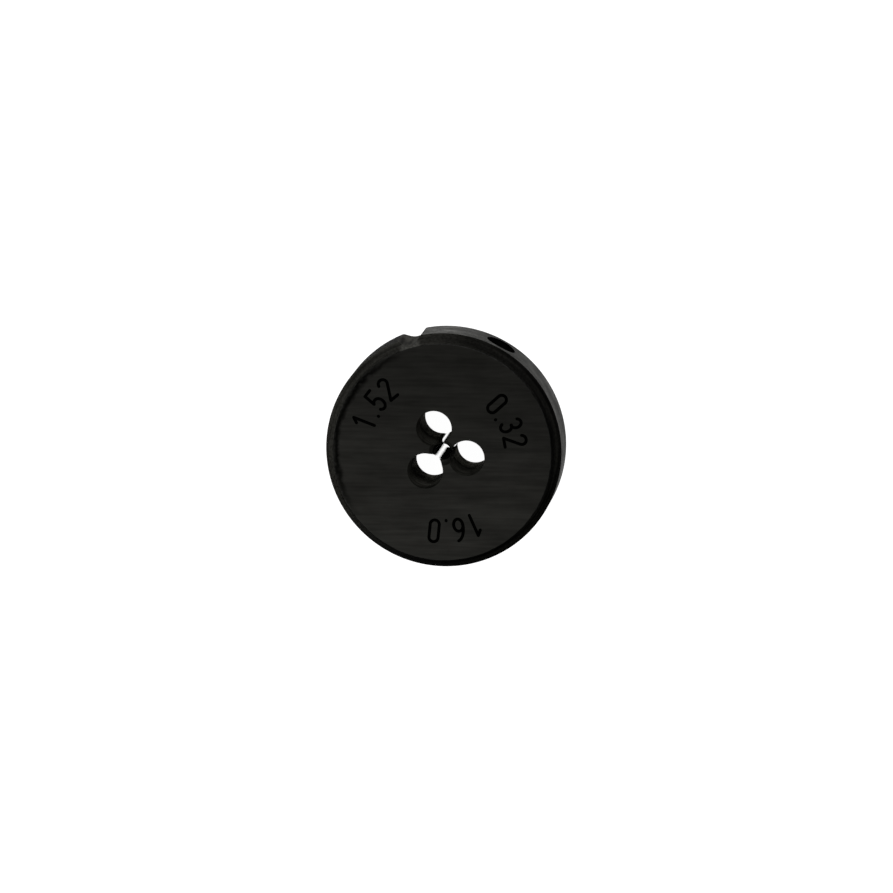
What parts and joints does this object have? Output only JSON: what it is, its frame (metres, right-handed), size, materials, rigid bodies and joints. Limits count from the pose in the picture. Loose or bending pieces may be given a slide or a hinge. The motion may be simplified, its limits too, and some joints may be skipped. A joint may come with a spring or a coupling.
{
  "type": "round threading die",
  "caption": "Round steel thread-cutting die: a bevelled disc with a threaded bore, chip holes, a V-groove and conical screw seats in its rim.",
  "frame": {"origin": "centre of the unmarked face, on the surface that the die lies on", "axes": "+Z along the threaded bore, out of the marked face; +Y through the V-groove in the rim; +X completes the right-handed frame"},
  "size_m": [0.016, 0.0159, 0.005],
  "materials": {
    "ground_tool_steel": "dark hardened tool steel: fine straight grinding lines on the faces, blackened bevels, a lighter ground rim"
  },
  "bodies": {
    "root": {"threading_die": "ground_tool_steel"}
  },
  "joints": []
}
